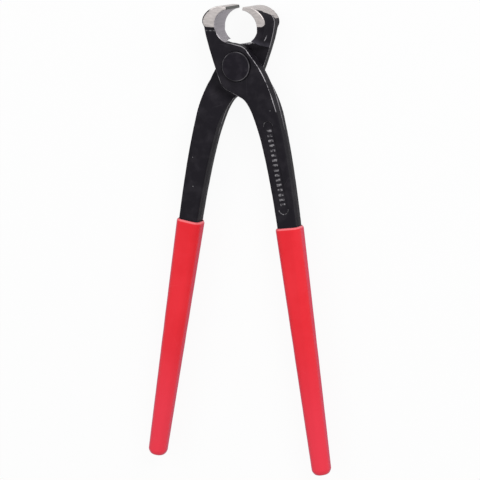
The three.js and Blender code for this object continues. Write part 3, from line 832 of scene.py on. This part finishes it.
def lever_material():
    material, tree, surface, place = new_material("lacquered_forging")
    marks = group_node(tree, handling, {"Vector": place, "Mottle Scale": 140.0, "Grain Scale": 1400.0})
    ragged = ramp(tree, noise_value(tree, place, 900.0, 3.0), 0.2, 0.8, -0.12, 0.12)
    ground = ramp(tree, math_node(tree, "ADD", attribute(tree, "ground_mm"), ragged), -0.08, 0.08)
    land = ramp(tree, attribute(tree, "land_mm"), -0.03, 0.03)
    bars = rubbed_and_highlit(tree, place, "bar_mm", BAR_WEAR_AND_HIGHLIGHT)
    pocket_ends = rubbed_and_highlit(tree, place, "pocket_end_mm", POCKET_END_WEAR_AND_HIGHLIGHT)
    ledge = math_node(tree, "MULTIPLY", rubbed_and_highlit(tree, place, "ledge_mm", LEDGE_WEAR_AND_HIGHLIGHT), 0.6)
    raised = math_node(tree, "MAXIMUM", math_node(tree, "MAXIMUM", bars, pocket_ends), ledge)
    patchy = ramp(tree, noise_value(tree, place, 800.0, 2.0), 0.38, 0.62, 0.04, 0.7)
    worn_and_highlit = math_node(tree, "MULTIPLY", raised, patchy)
    # Lighter lines along the edges and the flash: rubbed lacquer and a painted highlight in one.
    for name, reach in (("edge_mm", EDGE_WEAR_AND_HIGHLIGHT), ("flash_mm", FLASH_WEAR_AND_HIGHLIGHT), ("nick_mm", NICK_WORN)):
        worn_and_highlit = math_node(tree, "MAXIMUM", worn_and_highlit, rubbed_and_highlit(tree, place, name, reach))
    worn_and_highlit = math_node(tree, "MAXIMUM", worn_and_highlit, math_node(tree, "MULTIPLY", marks["Scuffs"], 0.05))

    dusty = ramp(tree, marks["Mottle"], 0.42, 0.72)
    lacquer = mix_colour(tree, dusty, LACQUER, LACQUER_DUST)
    # Painted sheen: the lap side just above the jaw's shoulder is lightened in mottled patches.
    thin = ramp(tree, attribute(tree, "shoulder_mm"), 0.0, SHOULDER_SHEEN_FADE, 0.8, 0.0)
    thin = math_node(tree, "MULTIPLY", thin, ramp(tree, marks["Mottle"], 0.35, 0.65, 0.3, 1.0))
    lacquer = mix_colour(tree, thin, lacquer, LACQUER_PAINTED_SHEEN)
    lacquer = mix_colour(tree, worn_and_highlit, lacquer, BARE_EDGE_AND_HIGHLIGHT)

    up_down = group_node(tree, grinding_lines, {"Vector": place})["Lines"]
    crossing = group_node(tree, grinding_lines, {"Vector": place, "Stretch": CROSSWISE_LINES})["Lines"]
    normal = add(tree, "ShaderNodeNewGeometry").outputs["Normal"]
    upright = add(tree, "ShaderNodeSeparateXYZ", {0: normal}).outputs["Z"]
    facing = ramp(tree, math_node(tree, "ABSOLUTE", upright), 0.5, 0.9)
    lines = mix_value(tree, facing, up_down, crossing)
    cut_lines = ramp(tree, lines, 0.3, 0.7)
    side_steel = mix_colour(tree, cut_lines, GROUND_SHADE, GROUND_STEEL)
    wall_steel = mix_colour(tree, cut_lines, MOUTH_SHADE, MOUTH_STEEL)
    in_mouth = ramp(tree, attribute(tree, "mouth_mm"), 0.12, 0.3, 1.0, 0.0)
    steel = mix_colour(tree, in_mouth, side_steel, wall_steel)
    steel = mix_colour(tree, land, steel, LAND_STEEL)

    tree.links.new(mix_colour(tree, ground, lacquer, steel), surface.inputs["Base Color"])
    lacquer_gloss = ramp(tree, marks["Grain"], 0.25, 0.75, 0.34, 0.48)
    steel_gloss = ramp(tree, lines, 0.2, 0.8, 0.38, 0.55)
    tree.links.new(mix_value(tree, ground, lacquer_gloss, steel_gloss), surface.inputs["Roughness"])
    metal = math_node(tree, "MAXIMUM", ground, math_node(tree, "MULTIPLY", worn_and_highlit, 0.3))
    tree.links.new(metal, surface.inputs["Metallic"])
    surface.inputs["Specular IOR Level"].default_value = LACQUER_SHINE
    skin = math_node(tree, "ADD", marks["Mottle"], math_node(tree, "MULTIPLY", marks["Grain"], 0.35))
    height = mix_value(tree, ground, skin, math_node(tree, "MULTIPLY", lines, 0.25))
    bump = add(tree, "ShaderNodeBump", {"Height": height, "Strength": 0.35, "Distance": 0.12 * MM})
    tree.links.new(bump.outputs["Normal"], surface.inputs["Normal"])
    return material


forging.data.materials.append(lever_material())

PIVOT = Vector(frame["joints"][0]["pos_m"])
HALF_OPENING = math.radians(-frame["joints"][0]["range_deg"][0] / 2)
AT_PIVOT = Matrix.Translation(PIVOT)
TURNED_OVER = Matrix.Rotation(math.pi, 4, "Y")
IN_PLACE = {
    "front": AT_PIVOT @ Matrix.Rotation(HALF_OPENING, 4, "Z"),
    "rear": AT_PIVOT @ Matrix.Rotation(-HALF_OPENING, 4, "Z") @ TURNED_OVER,
}


def both_sides(pattern, name, node):
    """One copy of a piece for each half of the tool, in its place and riding with that half."""
    for side, matrix in IN_PLACE.items():
        piece = pattern.copy()
        piece.data = pattern.data.copy()
        piece.data.transform(matrix)
        piece.name = f"{side}_{name}"
        bpy.context.scene.collection.objects.link(piece)
        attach(piece, f"{side}_half")
        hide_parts(f"{side}_{node}")
    bpy.data.objects.remove(pattern)


both_sides(forging, "forging", "lever")

# The rivet
# One turned steel rivet holds the lap joint, with a low flat head pressed up at each end. It is lacquered
# with the levers, and the bevel of its head is rubbed brighter and carries a painted highlight as well.
RIVET_RADIUS = 4.25 * MM
HEAD_RADIUS = 7.7 * MM
HEAD_UNDER = 5.65 * MM
HEAD_TOP = 6.85 * MM
HEAD_BEVEL = 0.5 * MM
HEAD_UNDERCUT = 0.2 * MM
HEAD_FACE_RINGS = np.array([6.6, 5.6, 4.6, 3.6, 2.6, 1.6, 0.7]) * MM
HEAD_SIDES = 128
BEVEL_STEPS = 6
BEVEL_WEAR_AND_HIGHLIGHT = 0.5
RIVET_BLACK = (0.0098, 0.0084, 0.0122, 1)
RIVET_DUST = (0.0180, 0.0156, 0.0208, 1)


def rivet_profile():
    """Radius and height of one head, from the shank under it to its middle."""
    bevel = [
        (HEAD_RADIUS - HEAD_BEVEL * (1 - math.cos(turn)), HEAD_TOP - HEAD_BEVEL * (1 - math.sin(turn)))
        for turn in np.linspace(0, math.pi / 2, BEVEL_STEPS)
    ]
    face = [(radius, HEAD_TOP) for radius in HEAD_FACE_RINGS]
    return [(RIVET_RADIUS, HEAD_UNDER), (HEAD_RADIUS - HEAD_UNDERCUT, HEAD_UNDER), *bevel, *face]


def turn_rivet():
    upper = rivet_profile()
    profile = [(radius, -height) for radius, height in reversed(upper)] + upper
    angles = np.linspace(0, 2 * math.pi, HEAD_SIDES, endpoint=False)
    rings = [
        [(radius * math.cos(a), radius * math.sin(a), height) for a in angles] for radius, height in profile
    ]
    return loft("rivet_body", np.array(rings))


def rivet_material():
    material, tree, surface, place = new_material("lacquered_rivet")
    marks = group_node(tree, handling, {"Vector": place, "Mottle Scale": 260.0, "Grain Scale": 1600.0})
    # The lighter bevel ring is rubbed lacquer and a painted highlight in one.
    edge = rubbed_and_highlit(tree, place, "edge_mm", BEVEL_WEAR_AND_HIGHLIGHT)
    dusty = ramp(tree, marks["Mottle"], 0.4, 0.72)
    lacquer = mix_colour(tree, dusty, RIVET_BLACK, RIVET_DUST)
    patchy = ramp(tree, noise_value(tree, place, 120.0, 1.0), 0.4, 0.65, 0.1, 0.36)
    scuffs = math_node(tree, "MULTIPLY", marks["Scuffs"], 0.1)
    worn_and_highlit = math_node(tree, "MAXIMUM", math_node(tree, "MULTIPLY", edge, patchy), scuffs)
    tree.links.new(mix_colour(tree, worn_and_highlit, lacquer, BARE_EDGE_AND_HIGHLIGHT), surface.inputs["Base Color"])
    tree.links.new(ramp(tree, marks["Grain"], 0.25, 0.75, 0.30, 0.44), surface.inputs["Roughness"])
    tree.links.new(math_node(tree, "MULTIPLY", worn_and_highlit, 0.7), surface.inputs["Metallic"])
    surface.inputs["Specular IOR Level"].default_value = LACQUER_SHINE
    bump = add(tree, "ShaderNodeBump", {"Height": marks["Mottle"], "Strength": 0.4, "Distance": 0.15 * MM})
    tree.links.new(bump.outputs["Normal"], surface.inputs["Normal"])
    return material


rivet = turn_rivet()
face_outwards(rivet)
rivet_points = read_points(rivet.data)
rivet_radius = np.linalg.norm(rivet_points[:, :2], axis=1)
rivet_edge = np.abs(HEAD_RADIUS - rivet_radius) + np.abs(HEAD_TOP - np.abs(rivet_points[:, 2]))
store(rivet.data, "edge_mm", rivet_edge / MM)
rivet.data.transform(AT_PIVOT)
rivet.data.shade_smooth()
rivet.data.materials.append(rivet_material())
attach(rivet, "front_half")
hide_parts("pivot_rivet")

# The grips
# Each tang is dipped in soft red PVC, which sets as a thick skin with a rounded lip at the arm and a round
# closed end. The dip leaves it very slightly wavy, with the fine orange-peel gloss of soft plastic.
GRIP_SKIN = 1.5 * MM
GRIP_ROUND = 4.5 * MM
GRIP_LIP = 1.1 * MM
GRIP_END_ROUND = 3.4 * MM
GRIP_END_INSET = 2.4 * MM
GRIP_MEET = 0.06 * MM
GRIP_LIP_DEPTH = 2.5 * MM
MOUTH_LIP_RUN = 0.35 * MM
MOUTH_LIP_RISE = 0.4 * MM
MOUTH_LIP_ROUND = 0.6 * MM
GRIP_WAVE = 0.05 * MM
GRIP_WAVE_RUN = 9 * MM
GRIP_SIDES = 96
GRIP_RINGS = 90
GRIP_END_RINGS = 14
PVC_RED = (0.66, 0.016, 0.025, 1)
PVC_LIGHT = (0.71, 0.024, 0.036, 1)
PVC_SCUFF = (0.75, 0.20, 0.21, 1)
PVC_PAINTED_EDGE_SHADE = (0.46, 0.030, 0.10, 1)
PVC_PALE = (0.72, 0.038, 0.066, 1)
PVC_PAINTED_LIP_HIGHLIGHT = (0.86, 0.30, 0.32, 1)
PVC_SHINE = 0.14
PALE_START = 45.0
PALE_FULL = 120.0


def rounded_ring(x, distance, half_width, half_thickness, rounding):
    """A rounded rectangle across the tang, with its points spread evenly by angle round each corner."""
    corner = min(rounding, half_width, half_thickness)
    quarter = GRIP_SIDES // 4
    points = []
    for index, (sign_x, sign_z) in enumerate(((1, 1), (-1, 1), (-1, -1), (1, -1))):
        for angle in np.linspace(0, math.pi / 2, quarter) + index * math.pi / 2:
            points.append((
                x + sign_x * (half_width - corner) + corner * math.cos(angle),
                -distance,
                sign_z * (half_thickness - corner) + corner * math.sin(angle),
            ))
    return points


def tang_at(distance):
    share = (distance - GRIP_START) / (TANG_END - GRIP_START)
    centre = ARM_CENTRE_AT_GRIP + (TANG_CENTRE_AT_END - ARM_CENTRE_AT_GRIP) * share
    width = ARM_WIDTH_AT_GRIP + (TANG_END_WIDTH - ARM_WIDTH_AT_GRIP) * share
    thickness = ARM_THICKNESS + (TANG_END_THICKNESS - ARM_THICKNESS) * share
    return centre, width / 2, thickness / 2


def grip_ring(distance, skin, rounding=GRIP_ROUND):
    centre, half_width, half_thickness = tang_at(distance)
    return rounded_ring(centre, distance, half_width + skin, half_thickness + skin, rounding)


def dip_grip():
    rings = [grip_ring(GRIP_START + GRIP_LIP_DEPTH, GRIP_MEET, FORGED_ROUND)]
    rings.append(grip_ring(GRIP_START + MOUTH_LIP_RUN, GRIP_MEET, FORGED_ROUND))
    for turn in np.linspace(0, math.pi / 2, 4):
        skin = GRIP_MEET + MOUTH_LIP_RISE * math.sin(turn)
        start = GRIP_START + MOUTH_LIP_RUN * (1 - math.sin(turn))
        rings.append(grip_ring(start, skin, FORGED_ROUND + MOUTH_LIP_ROUND))
    for turn in np.linspace(0, math.pi / 2, 7):
        skin = GRIP_SKIN - GRIP_LIP * (1 - math.sin(turn))
        rings.append(grip_ring(GRIP_START + GRIP_LIP * (1 - math.cos(turn)), skin))
    body_end = PIVOT_TO_END - GRIP_END_ROUND
    for distance in np.linspace(GRIP_START + GRIP_LIP, body_end, GRIP_RINGS)[1:]:
        wave = GRIP_WAVE * noise.noise(Vector((0, distance / GRIP_WAVE_RUN, 0)))
        rings.append(grip_ring(distance, GRIP_SKIN + wave))
    for turn in np.linspace(0, math.pi / 2, GRIP_END_RINGS)[1:]:
        inset = GRIP_END_INSET * (1 - math.cos(turn))
        rings.append(grip_ring(body_end + GRIP_END_ROUND * math.sin(turn), GRIP_SKIN - inset))
    return loft("grip_sleeve", np.array(rings))


def grip_material():
    material, tree, surface, place = new_material("dipped_pvc")
    scales = {"Mottle Scale": 45.0, "Grain Scale": 1100.0, "Scuff Scale": 60.0}
    marks = group_node(tree, handling, {"Vector": place, **scales})
    tone = ramp(tree, marks["Mottle"], 0.3, 0.7)
    red = mix_colour(tree, tone, PVC_RED, PVC_LIGHT)
    thicker = ramp(tree, attribute(tree, "lip_mm"), PALE_START, PALE_FULL, 0.0, 0.85)
    red = mix_colour(tree, thicker, red, PVC_PALE)
    # Painted shade: the red turns darker and more magenta where the surface turns away from the view.
    turned_away = add(tree, "ShaderNodeLayerWeight", {"Blend": 0.5}).outputs["Facing"]
    red = mix_colour(tree, ramp(tree, turned_away, 0.35, 0.95), red, PVC_PAINTED_EDGE_SHADE)
    scuffed = math_node(tree, "MULTIPLY", marks["Scuffs"], 0.06)
    # Painted highlight: a pale band just below the rim of the lip.
    painted_lip_highlight = ramp(tree, attribute(tree, "lip_mm"), 0.5, 1.2, 0.5, 0.0)
    red = mix_colour(tree, painted_lip_highlight, red, PVC_PAINTED_LIP_HIGHLIGHT)
    tree.links.new(mix_colour(tree, scuffed, red, PVC_SCUFF), surface.inputs["Base Color"])
    tree.links.new(ramp(tree, marks["Grain"], 0.25, 0.75, 0.30, 0.36), surface.inputs["Roughness"])
    surface.inputs["Specular IOR Level"].default_value = PVC_SHINE
    peel = noise_value(tree, place, 700.0, 1.0)
    height = math_node(tree, "ADD", peel, math_node(tree, "MULTIPLY", marks["Mottle"], 0.8))
    bump = add(tree, "ShaderNodeBump", {"Height": height, "Strength": 0.03, "Distance": 0.1 * MM})
    tree.links.new(bump.outputs["Normal"], surface.inputs["Normal"])
    return material


grip = dip_grip()
face_outwards(grip)
store(grip.data, "lip_mm", (-read_points(grip.data)[:, 1] - GRIP_START) / MM)
grip.data.shade_smooth()
grip.data.materials.append(grip_material())
both_sides(grip, "sleeve", "grip")

# The studio
# The tool lies on a plain pale surface under two large soft lights, seen from above and a little from its
# right.
VIEW_TURN = math.radians(22.91)
VIEW_TILT = math.radians(10.36)
VIEW_ROLL = math.radians(0.30)
VIEW_DISTANCE = 1.1
VIEW_AIM = Vector((0.0002, -0.09224, 0))
VIEW_LENS = 156.25
SENSOR = 36.0
FLOOR_SIZE = 6.0
FLOOR_GLOW = 0.93
MIRRORED_GLOW = 0.35
FLOOR_PALE = (0.69, 0.69, 0.69, 1)
FLOOR_GREY = (0.66, 0.66, 0.66, 1)
WORLD_STRENGTH = 0.75
LIT_POINT = (0, 0.05, 0)


def place_camera():
    back = Vector((
        math.sin(VIEW_TURN) * math.cos(VIEW_TILT),
        math.sin(VIEW_TILT),
        math.cos(VIEW_TURN) * math.cos(VIEW_TILT),
    ))
    right_hand = Vector((0, 1, 0)).cross(back).normalized()
    upwards = back.cross(right_hand)
    rolled_right = right_hand * math.cos(VIEW_ROLL) + upwards * math.sin(VIEW_ROLL)
    rolled_up = upwards * math.cos(VIEW_ROLL) - right_hand * math.sin(VIEW_ROLL)
    camera_data = bpy.data.cameras.new("camera")
    camera_data.lens = VIEW_LENS
    camera_data.sensor_width = SENSOR
    camera = bpy.data.objects.new("camera", camera_data)
    turned = Matrix((rolled_right, rolled_up, back)).transposed().to_4x4()
    camera.matrix_world = Matrix.Translation(PIVOT + VIEW_AIM + back * VIEW_DISTANCE) @ turned
    bpy.context.scene.collection.objects.link(camera)
    bpy.context.scene.camera = camera


def soft_light(name, where, size, power):
    lamp = bpy.data.lights.new(name, "AREA")
    lamp.shape = "DISK"
    lamp.size = size
    lamp.energy = power
    made = bpy.data.objects.new(name, lamp)
    made.location = where
    made.rotation_euler = (Vector(LIT_POINT) - Vector(where)).to_track_quat("-Z", "Y").to_euler()
    bpy.context.scene.collection.objects.link(made)


def white_floor():
    half = FLOOR_SIZE / 2
    corners = [(-half, -half, 0), (half, -half, 0), (half, half, 0), (-half, half, 0)]
    floor = new_object("floor", corners, [(0, 1, 2, 3)])
    material, tree, surface, place = new_material("white_paper")
    tone = noise_value(tree, place, 8.0, 2.0)
    tree.links.new(mix_colour(tree, tone, FLOOR_GREY, FLOOR_PALE), surface.inputs["Base Color"])
    surface.inputs["Roughness"].default_value = 0.9
    surface.inputs["Specular IOR Level"].default_value = 0.1
    path = tree.nodes.new("ShaderNodeLightPath")
    seen = math_node(tree, "MULTIPLY", path.outputs["Is Camera Ray"], FLOOR_GLOW)
    mirrored = math_node(tree, "MULTIPLY", path.outputs["Is Glossy Ray"], MIRRORED_GLOW)
    glow = add(tree, "ShaderNodeEmission", {"Color": (1, 1, 1, 1), "Strength": 1.0})
    mixed = add(tree, "ShaderNodeMixShader", {0: math_node(tree, "MAXIMUM", seen, mirrored)})
    tree.links.new(surface.outputs[0], mixed.inputs[1])
    tree.links.new(glow.outputs[0], mixed.inputs[2])
    tree.links.new(mixed.outputs[0], tree.nodes["Material Output"].inputs["Surface"])
    floor.data.materials.append(material)


def white_world():
    world = bpy.data.worlds.new("studio")
    world.use_nodes = True
    background = world.node_tree.nodes["Background"]
    background.inputs["Color"].default_value = (1, 1, 1, 1)
    background.inputs["Strength"].default_value = WORLD_STRENGTH
    bpy.context.scene.world = world


place_camera()
white_floor()
white_world()
soft_light("key", (0.75, 0.75, 0.75), 0.6, 9.0)
soft_light("fill", (-0.8, 0.4, 0.8), 0.7, 3.0)
bpy.context.scene.view_settings.view_transform = "Standard"
